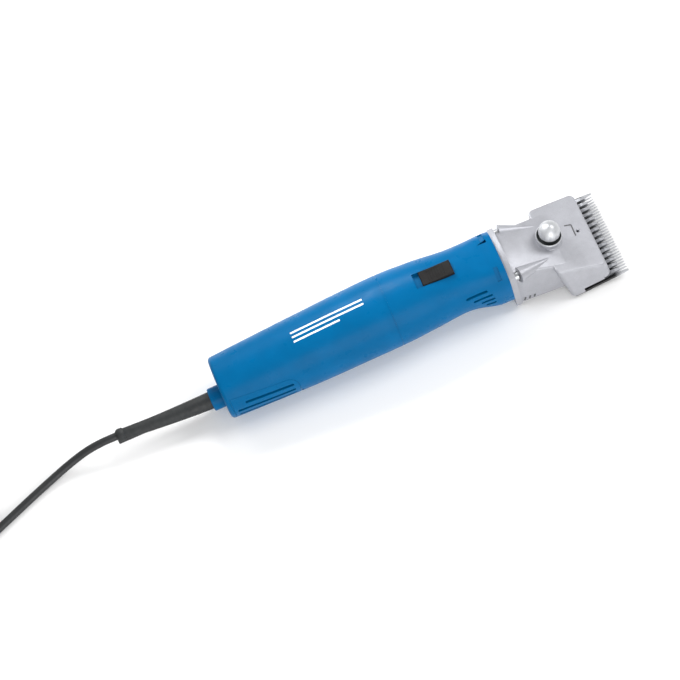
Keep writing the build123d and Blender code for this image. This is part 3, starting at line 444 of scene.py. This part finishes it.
LEAD_START = (BOOT_TIP + 3, BOOT_END[1], BOOT_END[2])
LEAD_ROUTE = [
    LEAD_START, (-95, 2.8, 16.6), (-103, 3.2, 15.8), (-117, 3.4, 12.6), (-133, 1.4, 7.8), (-150, -2.9, 4.2),
    (-172, -10.8, LEAD_Z), (-198, -21.4, LEAD_Z),
]
route = list(LEAD_ROUTE)
route += [coil_point(k / COIL_POINTS) for k in range(COIL_TURNS * COIL_POINTS + 1)]
TAIL_HEADINGS = [COIL_HEADING + (math.pi / 2 - COIL_HEADING) * k / 3 for k in range(4)]
TAIL_RUN = 25.0
TAIL_HEIGHTS = (16.5, 19.5, 22.45, 22.45)
TAIL_START = (-226.5, -32.8)
tail = TAIL_START
for heading, height in zip(TAIL_HEADINGS, TAIL_HEIGHTS):
    tail = (tail[0] + TAIL_RUN * math.cos(heading), tail[1] + TAIL_RUN * math.sin(heading))
    route.append((*tail, height))
INTO_PLUG = 4.0
route.append((tail[0], tail[1] + INTO_PLUG, TAIL_HEIGHTS[-1]))


def spline_tube(name, points, radius, material):
    """A round tube along one smooth spline through the given control points."""
    data = bpy.data.curves.new(name, "CURVE")
    data.dimensions = "3D"
    spline = data.splines.new("NURBS")
    spline.points.add(len(points) - 1)
    for slot, place in zip(spline.points, points):
        slot.co = (*at(*place), 1.0)
    spline.order_u = 3
    spline.use_endpoint_u = True
    data.bevel_depth = radius * MM
    data.bevel_resolution = 5
    data.resolution_u = 6
    data.use_fill_caps = True
    tube = bpy.data.objects.new(name, data)
    bpy.context.collection.objects.link(tube)
    data.materials.append(material)
    return tube


lead = spline_tube("lead", route, CORD_R, MATERIALS["lead_jacket"])
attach(lead, "tool")
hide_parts("mains_lead", "lead_coil", "lead_tail")

# ------------------------------------------------------------------ stage: floor, light and camera
bpy.ops.mesh.primitive_plane_add(size=12, location=(0, 0, -0.0002))
floor = bpy.context.object
floor.name = "floor"
paper = Shader("paper", 0.0, 0.9)
paper.colour(paper.ramp(paper.noise(3, 2), (0.3, srgb(250, 250, 250)), (0.7, srgb(253, 253, 253))))
floor.data.materials.append(paper.material)

AIM = at(170, 0, 33.5)
CAMERA_AZIMUTH = math.radians(-1.53)
CAMERA_ELEVATION = math.radians(64.72)
CAMERA_ROLL = math.radians(22.1)
CAMERA_DISTANCE = 2.3166
SENSOR_WIDTH = 36                   # millimetres
LENS = 154.531588                   # millimetres
# how far the camera stands off the aim point, across its view and up it, in metres
AIM_RIGHT = 0.0590950
AIM_UP = 0.0316030
back = Vector((math.sin(CAMERA_AZIMUTH) * math.cos(CAMERA_ELEVATION),
               -math.cos(CAMERA_AZIMUTH) * math.cos(CAMERA_ELEVATION), math.sin(CAMERA_ELEVATION)))
level = Vector((math.cos(CAMERA_AZIMUTH), math.sin(CAMERA_AZIMUTH), 0))
upright = back.cross(level)
right = level * math.cos(CAMERA_ROLL) - upright * math.sin(CAMERA_ROLL)
up = upright * math.cos(CAMERA_ROLL) + level * math.sin(CAMERA_ROLL)
camera = bpy.data.objects.new("camera", bpy.data.cameras.new("camera"))
bpy.context.collection.objects.link(camera)
camera.data.lens = LENS
camera.data.sensor_width = SENSOR_WIDTH
turn = Matrix((right, up, back)).transposed().to_4x4()
place = AIM + back * CAMERA_DISTANCE - right * AIM_RIGHT - up * AIM_UP
camera.matrix_world = Matrix.Translation(place) @ turn
bpy.context.scene.camera = camera


def softbox(name, place, size, watts):
    """A square area light aimed at the tool."""
    data = bpy.data.lights.new(name, "AREA")
    data.size = size
    data.energy = watts
    lamp = bpy.data.objects.new(name, data)
    bpy.context.collection.objects.link(lamp)
    lamp.location = place
    lamp.rotation_euler = (AIM - Vector(place)).to_track_quat("-Z", "Y").to_euler()
    return lamp


softbox("key", (1.5, 0.1, 1.6), 0.8, 18)
softbox("fill", (0.0, -1.6, 0.75), 1.2, 19)
softbox("back", (-0.4, 1.5, 1.2), 1.2, 7)
softbox("head_light", (-0.02, 0.24, 0.3), 0.14, 1.1)
WORLD_STRENGTH = 0.57
world = bpy.data.worlds.new("studio")
bpy.context.scene.world = world
world.use_nodes = True
world.node_tree.nodes["Background"].inputs["Color"].default_value = (1, 1, 1, 1)
world.node_tree.nodes["Background"].inputs["Strength"].default_value = WORLD_STRENGTH
bpy.context.scene.view_settings.view_transform = "Standard"
